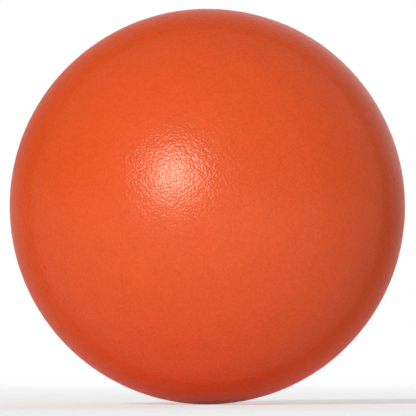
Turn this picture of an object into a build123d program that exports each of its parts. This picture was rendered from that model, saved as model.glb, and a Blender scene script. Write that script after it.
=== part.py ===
from build123d import *

import os

# Coated-foam dodgeball: a soft foam ball under a sprayed elastomer skin.
# Sizes are in millimetres. The origin is the ball's centre and +Z is up.

# Driving dimensions
ball_diameter = 178.0  # over the skin, the common 7 inch size
skin_thickness = 0.7  # coloured elastomer, built up from several sprayed coats
anchor_depth = 0.5  # how far the first coat soaks in, about one cut foam cell

# Radii of the layers, from the outside in
skin_radius = ball_diameter / 2
anchor_radius = skin_radius - skin_thickness
core_radius = anchor_radius - anchor_depth

# Soft open-cell foam ball, cut from one block
with BuildPart() as foam_core:
    Sphere(core_radius)
foam_core.part.label = "foam_core"

# First coat, soaked into the cells at the foam's surface, which the skin grips
with BuildPart() as anchor_coat:
    Sphere(anchor_radius)
    Sphere(core_radius, mode=Mode.SUBTRACT)
anchor_coat.part.label = "anchor_coat"

# Coloured skin, one closed shell with no seam
with BuildPart() as outer_skin:
    Sphere(skin_radius)
    Sphere(anchor_radius, mode=Mode.SUBTRACT)
outer_skin.part.label = "outer_skin"

# One file for each piece
os.makedirs("parts", exist_ok=True)
export_step(foam_core.part, "parts/foam_core.step")
export_step(anchor_coat.part, "parts/anchor_coat.step")
export_step(outer_skin.part, "parts/outer_skin.step")
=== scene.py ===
import math

import bpy
import numpy as np
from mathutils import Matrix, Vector, noise


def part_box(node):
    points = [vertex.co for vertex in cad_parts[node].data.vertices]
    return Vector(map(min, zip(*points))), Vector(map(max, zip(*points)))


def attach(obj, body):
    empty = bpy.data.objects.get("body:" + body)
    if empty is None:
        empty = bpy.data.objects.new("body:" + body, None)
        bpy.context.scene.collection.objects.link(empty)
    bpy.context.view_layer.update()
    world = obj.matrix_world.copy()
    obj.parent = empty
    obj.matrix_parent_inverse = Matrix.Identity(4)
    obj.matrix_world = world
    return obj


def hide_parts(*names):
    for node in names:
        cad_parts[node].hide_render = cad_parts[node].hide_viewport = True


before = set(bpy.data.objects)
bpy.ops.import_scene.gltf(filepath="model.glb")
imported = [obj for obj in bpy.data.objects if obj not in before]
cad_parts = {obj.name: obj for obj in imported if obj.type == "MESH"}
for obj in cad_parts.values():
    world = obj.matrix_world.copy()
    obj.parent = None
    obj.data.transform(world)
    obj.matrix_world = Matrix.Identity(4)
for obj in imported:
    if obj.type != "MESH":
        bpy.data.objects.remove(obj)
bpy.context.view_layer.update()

MM = 0.001

# Radii of the layers, from the frame
skin_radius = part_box("outer_skin")[1].z
anchor_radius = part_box("anchor_coat")[1].z
core_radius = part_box("foam_core")[1].z

# Where the ball stands in the photograph, in its pixels
photo_side = 416
ball_centre_px = (207.5, 206.6)
ball_radius_px = 197.8

# Camera
camera_distance = 6.0
camera_elevation = math.radians(-0.5)
sensor_side_mm = 36.0

# Relief of the skin that the mesh holds: how far apart its waves are and how high they stand
out_of_round_pitch = 90 * MM
out_of_round_height = 0.20 * MM
wave_pitch = 4.2 * MM
wave_height = 0.09 * MM

# Grain of the skin that is too fine for the mesh. The creases use less than half of their span
pebble_pitch = 1.1 * MM
pebble_height = 0.075 * MM
crease_pitch = 0.8 * MM
crease_span = 0.052 * MM

# How round the pebbles are, as shares of their pitch
pebble_smoothness = 0.5
pebble_reach = 0.7

# Gloss of the skin. A roughness under about 0.275 leaves specks in a denoised picture
skin_ior = 1.535
skin_roughness = (0.28, 0.32)
gloss_pitch = 6 * MM

# How the pebbles hide each other's gloss: from and to which slant, and the specular levels there
mask_slants = (0.04, 0.56)
mask_levels = (0.5, 0.012)

# Uneven colour of the skin: broad clouds from the spraying and fine flecks
cloud_pitch = 14 * MM
fleck_pitch = 1.8 * MM
fleck_share = 0.78

# How the first coat took: how far apart its patches are, how fine they get and how much paler
soak_pitch = 3 * MM
soak_detail = 3.0
soak_contrast = 1.25
anchor_roughness = 0.7

# Cut cells of the foam, and its pores, with how much painted shade darkens their pits
cell_pitch = 5.0 * MM
cell_depth = 0.35 * MM
pore_pitch = 0.8 * MM
pore_depth = 0.2 * MM
pore_painted_shade = 0.75
foam_roughness = 0.9

# Random patterns: a noise cell's side as a share of the pitch, a speckle's detail and where its values lie
noise_share = 0.6
speckle_detail = 2.0
speckle_span = (0.3, 0.7)

# How finely each surface is divided, along an edge of its six patches
skin_steps = 124
inner_steps = 24
core_steps = 72

# Digits of a direction to which two points agree where patches share an edge
point_digits = 9

# The map that surface patterns are kept on: a column for each axis, and a row for each way along it
map_name = "OFBake"
map_columns = 3
map_rows = 2

# The gap at a patch's edge as a share of the patch, and the map's share for the inside of a layer
map_gap = 0.003
inner_strip = 0.05

# Sockets of a mix node that hold its two colours and their mix
mix_first = 6
mix_second = 7
mix_result = 2

# Colours, linear
skin_dark = (0.797, 0.0812, 0.0125)
skin_light = (0.939, 0.1057, 0.0161)
skin_gloss_tint = (1.0, 1.0, 0.78)
anchor_orange = (0.62, 0.13, 0.045)
foam_cream = (0.78, 0.69, 0.45)
floor_pale = (0.88, 0.88, 0.88)
white = (1.0, 1.0, 1.0)
floor_glow = 0.36

# Lamps: a disc at the camera's upper left, a very wide soft one in front and another low behind the ball
key_from_camera = Vector((-0.327, 0.320, 0.889))
key_level = 0.585
key_width = math.radians(12)
front_direction = Vector((0, -1, 0))
front_level = 0.345
front_width = math.radians(130)
fill_direction = Vector((0.10, 0.98, 0.14))
fill_level = 0.44
fill_width = math.radians(60)

# The studio all round: an even level, and brighter ways with their levels and how closely they are kept to
surround_level = 0.13
bright_ways = [
    (Vector((0, 1, 0)), 0.52, 8),
    (Vector((0.42, 0.88, 0.22)), 0.60, 8),
]

# Its pale walls and ceiling, which only the camera, a gloss or a glass sees
pale_ways = [
    (Vector((0.42, 0.88, 0.22)), 0.75, 8),
    (Vector((-0.5, 0.3, 0.8)), 0.48, 2),
    (Vector((0.8, 0.1, 0.6)), 0.45, 3),
]

# Stage: a pale floor, and a round white sweep that fades in away from the ball and bends up at its edge
floor_side = 120.0
sweep_start = 0.25
sweep_full = 2.5
sweep_radius = 4.8
sweep_bend = 0.4
sweep_lift = 0.2 * MM
sweep_sides = 96
bend_steps = 8


def grid_quads(steps):
    """The quads of a square grid of points, by the numbers of their corners."""
    grid = np.arange((steps + 1) ** 2).reshape(steps + 1, steps + 1)
    corners = [grid[:-1, :-1], grid[1:, :-1], grid[1:, 1:], grid[:-1, 1:]]
    return np.stack(corners, axis=-1).reshape(-1, len(corners))


def cube_sphere(steps):
    """Unit directions, quads and map corners of a ball in six square patches that share their edges."""
    slopes = np.tan(np.linspace(-math.pi / 4, math.pi / 4, steps + 1))
    along, across = np.meshgrid(slopes, slopes, indexing="ij")
    shares = np.linspace(map_gap, 1 - map_gap, steps + 1)
    share_u, share_v = np.meshgrid(shares, shares, indexing="ij")
    patch_quads = grid_quads(steps)
    points, quads, places = [], [], []
    for row, way in enumerate((1, -1)):
        for column, axis in enumerate(way * np.eye(map_columns)):
            first = way * np.roll(axis, 1)
            second = np.cross(axis, first)
            patch = axis + along[..., None] * first + across[..., None] * second
            quads.append(patch_quads + len(points) * along.size)
            points.append(patch.reshape(along.size, -1))
            place = np.stack([(column + share_u) / map_columns, (row + share_v) / map_rows], axis=-1)
            places.append(place.reshape(along.size, -1)[patch_quads])
    points = np.concatenate(points)
    points /= np.linalg.norm(points, axis=1, keepdims=True)
    directions, shared = np.unique(points.round(point_digits), axis=0, return_inverse=True)
    return directions, shared.ravel()[np.concatenate(quads)], np.concatenate(places)


def waves(directions, radius, pitch, height):
    """Smooth random hills of that pitch and height over a ball."""
    scale = radius / (noise_share * pitch)
    return np.array([height * noise.noise(Vector(direction) * scale) for direction in directions])


def outer_surface():
    """The skin's outside: a ball that is a little out of round, with the waves of an orange peel."""
    directions, quads, places = cube_sphere(skin_steps)
    radii = skin_radius + waves(directions, skin_radius, out_of_round_pitch, out_of_round_height)
    radii += waves(directions, skin_radius, wave_pitch, wave_height)
    return directions * radii[:, None], quads, places


def cut_surface():
    """Where the foam was cut: the open cells lie lower than the cut."""
    directions, quads, places = cube_sphere(core_steps)
    radii = core_radius - np.abs(waves(directions, core_radius, cell_pitch, cell_depth))
    return directions * radii[:, None], quads, places


def smooth_surface(radius):
    """A plain round boundary between two layers."""
    directions, quads, places = cube_sphere(inner_steps)
    return directions * radius, quads, places


def layer(name, outside, inside=None):
    """A piece between two closed surfaces, or a solid one."""
    points, quads, places = outside
    if inside is not None:
        inner_points, inner_quads, inner_places = inside
        inner_quads = inner_quads[:, ::-1] + len(points)
        inner_places = inner_places[:, ::-1] * (1, inner_strip)
        places = places * (1, 1 - inner_strip) + (0, inner_strip)
        points = np.concatenate([points, inner_points])
        quads = np.concatenate([quads, inner_quads])
        places = np.concatenate([places, inner_places])
    mesh = bpy.data.meshes.new(name)
    mesh.from_pydata(points.tolist(), [], quads.tolist())
    mesh.uv_layers.new(name=map_name).data.foreach_set("uv", places.ravel())
    mesh.shade_smooth()
    piece = bpy.data.objects.new(name, mesh)
    bpy.context.scene.collection.objects.link(piece)
    return piece


def add_node(tree, kind, settings=None, inputs=None):
    """A new node. An input is given a value, or a link if it is given another node's output."""
    made = tree.nodes.new(kind)
    for name, value in (settings or {}).items():
        setattr(made, name, value)
    for name, value in (inputs or {}).items():
        if isinstance(value, bpy.types.NodeSocket):
            tree.links.new(value, made.inputs[name])
        else:
            made.inputs[name].default_value = value
    return made


def calculate(tree, operation, *values):
    """The result of a math node."""
    inputs = dict(enumerate(values))
    return add_node(tree, "ShaderNodeMath", {"operation": operation}, inputs).outputs[0]


def rescaled(tree, value, span, onto=(0.0, 1.0)):
    """A value's place in one span, moved to the same place in another."""
    ends = ("From Min", "From Max", "To Min", "To Max")
    inputs = {"Value": value, **dict(zip(ends, (*span, *onto)))}
    return add_node(tree, "ShaderNodeMapRange", inputs=inputs).outputs["Result"]


def new_material(name):
    """A material with its tree, its main shader and the place on the object that its patterns follow."""
    material = bpy.data.materials.new(name)
    material.use_nodes = True
    tree = material.node_tree
    place = add_node(tree, "ShaderNodeTexCoord").outputs["Object"]
    return material, tree, tree.nodes["Principled BSDF"], place


def speckle(tree, place, pitch, detail=speckle_detail):
    """Soft random values from 0 to 1 whose hills are that far apart."""
    inputs = {"Vector": place, "Scale": 1 / (noise_share * pitch), "Detail": detail}
    return add_node(tree, "ShaderNodeTexNoise", inputs=inputs).outputs["Fac"]


def rounded_cells(tree, place, pitch):
    """Round humps about that far apart, from 0 in the valleys to 1 on their tops."""
    inputs = {"Vector": place, "Scale": 1 / pitch, "Smoothness": pebble_smoothness}
    cells = add_node(tree, "ShaderNodeTexVoronoi", {"feature": "SMOOTH_F1"}, inputs).outputs["Distance"]
    rise = rescaled(tree, cells, (0.0, pebble_reach))
    return calculate(tree, "SUBTRACT", 1.0, calculate(tree, "MULTIPLY", rise, rise))


def masked_gloss(tree):
    """A specular level that falls towards edge on, where the pebbles hide each other's gloss."""
    slant = add_node(tree, "ShaderNodeLayerWeight").outputs["Facing"]
    return rescaled(tree, slant, mask_slants, mask_levels)


def tinted(tree, value, dark, light):
    """A colour between two, by a value from 0 to 1."""
    inputs = {"Factor": value, mix_first: (*dark, 1), mix_second: (*light, 1)}
    return add_node(tree, "ShaderNodeMix", {"data_type": "RGBA"}, inputs).outputs[mix_result]


def bumped(tree, height, distance, below=None):
    """A normal that follows a height of that distance, on top of another normal."""
    inputs = {"Height": height, "Distance": distance}
    if below is not None:
        inputs["Normal"] = below
    return add_node(tree, "ShaderNodeBump", inputs=inputs).outputs["Normal"]


def shade(colour, share):
    """A colour made darker or lighter by a share."""
    return tuple(channel * share for channel in colour)


def skin_material():
    """Sprayed elastomer: saturated orange, satin, with the fine pebbles of an orange peel."""
    material, tree, shader, place = new_material("sprayed_skin")
    clouds = speckle(tree, place, cloud_pitch)
    flecks = speckle(tree, place, fleck_pitch)
    inputs = {"Factor": fleck_share, "A": clouds, "B": flecks}
    mottle = add_node(tree, "ShaderNodeMix", inputs=inputs).outputs["Result"]
    colour = tinted(tree, rescaled(tree, mottle, speckle_span), skin_dark, skin_light)
    tree.links.new(colour, shader.inputs["Base Color"])
    gloss = rescaled(tree, speckle(tree, place, gloss_pitch), speckle_span, skin_roughness)
    tree.links.new(gloss, shader.inputs["Roughness"])
    normal = bumped(tree, rounded_cells(tree, place, pebble_pitch), pebble_height)
    normal = bumped(tree, speckle(tree, place, crease_pitch), crease_span, normal)
    tree.links.new(normal, shader.inputs["Normal"])
    tree.links.new(masked_gloss(tree), shader.inputs["Specular IOR Level"])
    shader.inputs["IOR"].default_value = skin_ior
    shader.inputs["Specular Tint"].default_value = (*skin_gloss_tint, 1)
    return material


def anchor_material():
    """Foam soaked with the first coat: dull, and paler where less of it took."""
    material, tree, shader, place = new_material("soaked_foam")
    soak = rescaled(tree, speckle(tree, place, soak_pitch, soak_detail), speckle_span)
    colour = tinted(tree, soak, anchor_orange, shade(anchor_orange, soak_contrast))
    tree.links.new(colour, shader.inputs["Base Color"])
    pores = speckle(tree, place, pore_pitch)
    tree.links.new(bumped(tree, pores, pore_depth), shader.inputs["Normal"])
    shader.inputs["Roughness"].default_value = anchor_roughness
    return material


def foam_material():
    """Open-cell foam: pale, matt and full of small pores, with painted shade in their pits."""
    material, tree, shader, place = new_material("open_cell_foam")
    inputs = {"Vector": place, "Scale": 1 / pore_pitch}
    pores = add_node(tree, "ShaderNodeTexVoronoi", inputs=inputs).outputs["Distance"]
    # Painted shade: the colour is darker at the pores' pits, where the bump sinks
    colour = tinted(tree, pores, shade(foam_cream, pore_painted_shade), foam_cream)
    tree.links.new(colour, shader.inputs["Base Color"])
    tree.links.new(bumped(tree, pores, pore_depth), shader.inputs["Normal"])
    shader.inputs["Roughness"].default_value = foam_roughness
    return material


def dress(piece, node, material):
    """Puts a piece in the place of its CAD node."""
    piece.data.materials.append(material)
    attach(piece, "root")
    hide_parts(node)


def make_ball():
    """The three layers of the ball."""
    skin = layer("skin", outer_surface(), smooth_surface(anchor_radius))
    dress(skin, "outer_skin", skin_material())
    coat = layer("first_coat", smooth_surface(anchor_radius), cut_surface())
    dress(coat, "anchor_coat", anchor_material())
    foam = layer("foam", cut_surface())
    dress(foam, "foam_core", foam_material())


def camera_axes():
    """Right, up and towards the camera, in the frame."""
    sine, cosine = math.sin(camera_elevation), math.cos(camera_elevation)
    return Vector((1, 0, 0)), Vector((0, sine, cosine)), Vector((0, -cosine, sine))


def make_camera():
    """The photograph's view, with the ball's outline where it is there."""
    towards = camera_axes()[-1]
    centre_x, centre_y = ball_centre_px
    outline_distance = math.sqrt(camera_distance ** 2 - skin_radius ** 2)
    data = bpy.data.cameras.new("camera")
    data.sensor_width = sensor_side_mm
    data.lens = ball_radius_px / photo_side * sensor_side_mm * outline_distance / skin_radius
    data.shift_x = (photo_side / 2 - centre_x) / photo_side
    data.shift_y = (centre_y - photo_side / 2) / photo_side
    data.clip_end = floor_side
    camera = bpy.data.objects.new("camera", data)
    camera.location = towards * camera_distance
    camera.rotation_euler = (-towards).to_track_quat("-Z", "Y").to_euler()
    bpy.context.scene.collection.objects.link(camera)
    bpy.context.scene.camera = camera


def make_lamp(name, direction, level, width):
    """A disc far off, so that its light is even over the ball and the floor."""
    data = bpy.data.lights.new(name, "SUN")
    data.energy = math.pi * level
    data.angle = width
    lamp = bpy.data.objects.new(name, data)
    lamp.rotation_euler = direction.to_track_quat("Z", "Y").to_euler()
    bpy.context.scene.collection.objects.link(lamp)
    return lamp


def make_lamps():
    """The key, which makes the highlight, and the soft lamps, which the gloss doesn't show."""
    right, up, towards = camera_axes()
    key_direction = right * key_from_camera.x + up * key_from_camera.y + towards * key_from_camera.z
    make_lamp("key", key_direction, key_level, key_width)
    front = make_lamp("front", front_direction, front_level, front_width)
    fill = make_lamp("fill", fill_direction, fill_level, fill_width)
    for soft_lamp in (front, fill):
        soft_lamp.visible_glossy = False


def seen(tree, strength):
    """A strength where the camera, a gloss or a glass looks, and 0 where other light falls."""
    path = add_node(tree, "ShaderNodeLightPath").outputs
    share = path["Is Camera Ray"]
    for kind in ("Is Glossy Ray", "Is Transmission Ray"):
        share = calculate(tree, "MAXIMUM", share, path[kind])
    return calculate(tree, "MULTIPLY", share, strength)


def facing(tree, direction, way):
    """How far a direction points one way, from 0 to 1."""
    inputs = {0: direction, 1: way.normalized()}
    share = add_node(tree, "ShaderNodeVectorMath", {"operation": "DOT_PRODUCT"}, inputs)
    return add_node(tree, "ShaderNodeClamp", inputs={"Value": share.outputs["Value"]}).outputs["Result"]


def raised(tree, direction, ways, level):
    """A level that is raised towards each of some ways."""
    for way, most, focus in ways:
        share = calculate(tree, "POWER", facing(tree, direction, way), focus)
        level = calculate(tree, "MULTIPLY_ADD", share, most, level)
    return level


def make_world():
    """A dim studio all round, brighter behind, with pale walls and a pale ceiling."""
    world = bpy.data.worlds.new("studio")
    world.use_nodes = True
    bpy.context.scene.world = world
    tree = world.node_tree
    direction = add_node(tree, "ShaderNodeTexCoord").outputs["Generated"]
    walls = seen(tree, raised(tree, direction, pale_ways, 0.0))
    level = calculate(tree, "ADD", raised(tree, direction, bright_ways, surround_level), walls)
    background = tree.nodes["Background"]
    background.inputs["Color"].default_value = (*white, 1)
    tree.links.new(level, background.inputs["Strength"])


def floor_material():
    """Matt and pale, and paler where it is seen. The ball's shadow stays on it."""
    material, tree, shader, _ = new_material("floor")
    material.cycles.emission_sampling = "NONE"
    shader.inputs["Base Color"].default_value = (*floor_pale, 1)
    shader.inputs["Specular IOR Level"].default_value = 0
    shader.inputs["Emission Color"].default_value = (*white, 1)
    tree.links.new(seen(tree, floor_glow), shader.inputs["Emission Strength"])
    return material


def sweep_material():
    """White where the camera, a gloss or a glass sees its inner side. It fades in from the floor below."""
    material, tree, shader, place = new_material("sweep")
    material.cycles.emission_sampling = "NONE"
    tree.nodes.remove(shader)
    away = add_node(tree, "ShaderNodeVectorMath", {"operation": "LENGTH"}, {0: place}).outputs["Value"]
    settings = {"interpolation_type": "SMOOTHSTEP"}
    inputs = {"Value": away, "From Min": sweep_start, "From Max": sweep_full}
    full = add_node(tree, "ShaderNodeMapRange", settings, inputs).outputs["Result"]
    outer = add_node(tree, "ShaderNodeNewGeometry").outputs["Backfacing"]
    inner = calculate(tree, "SUBTRACT", full, outer)
    inner = add_node(tree, "ShaderNodeClamp", inputs={"Value": inner}).outputs["Result"]
    clear = add_node(tree, "ShaderNodeBsdfTransparent").outputs[0]
    glow = add_node(tree, "ShaderNodeEmission").outputs[0]
    inputs = {0: seen(tree, inner), 1: clear, 2: glow}
    surface = add_node(tree, "ShaderNodeMixShader", inputs=inputs).outputs[0]
    tree.links.new(surface, tree.nodes["Material Output"].inputs["Surface"])
    return material


def make_sheet(name, points, faces, material):
    """A sheet of the studio, which isn't part of the ball."""
    mesh = bpy.data.meshes.new(name)
    mesh.from_pydata(points, [], faces)
    mesh.shade_smooth()
    mesh.materials.append(material)
    sheet = bpy.data.objects.new(name, mesh)
    bpy.context.scene.collection.objects.link(sheet)


def make_floor():
    """A plain floor that the ball stands on."""
    reach = floor_side / 2
    corners = [(-reach, -reach), (reach, -reach), (reach, reach), (-reach, reach)]
    points = [(x, y, -skin_radius) for x, y in corners]
    face = tuple(range(len(points)))
    make_sheet("floor", points, [face], floor_material())


def make_sweep():
    """A shallow round dish, flat to near its edge, whose normals point in and up."""
    foot = -skin_radius + sweep_lift
    rows = [(sweep_start, foot)]
    for step in range(bend_steps + 1):
        turn = math.pi / 2 * step / bend_steps
        radius = sweep_radius - sweep_bend * (1 - math.sin(turn))
        rows.append((radius, foot + sweep_bend * (1 - math.cos(turn))))
    turns = [2 * math.pi * side / sweep_sides for side in range(sweep_sides)]
    points = []
    for radius, height in rows:
        points += [(radius * math.cos(turn), radius * math.sin(turn), height) for turn in turns]
    faces = []
    for row in range(len(rows) - 1):
        near, far = row * sweep_sides, (row + 1) * sweep_sides
        for side in range(sweep_sides):
            following = (side + 1) % sweep_sides
            faces.append((near + side, far + side, far + following, near + following))
    make_sheet("sweep", points, faces, sweep_material())


make_ball()
make_camera()
make_lamps()
make_world()
make_floor()
make_sweep()
bpy.context.scene.view_settings.view_transform = "Standard"
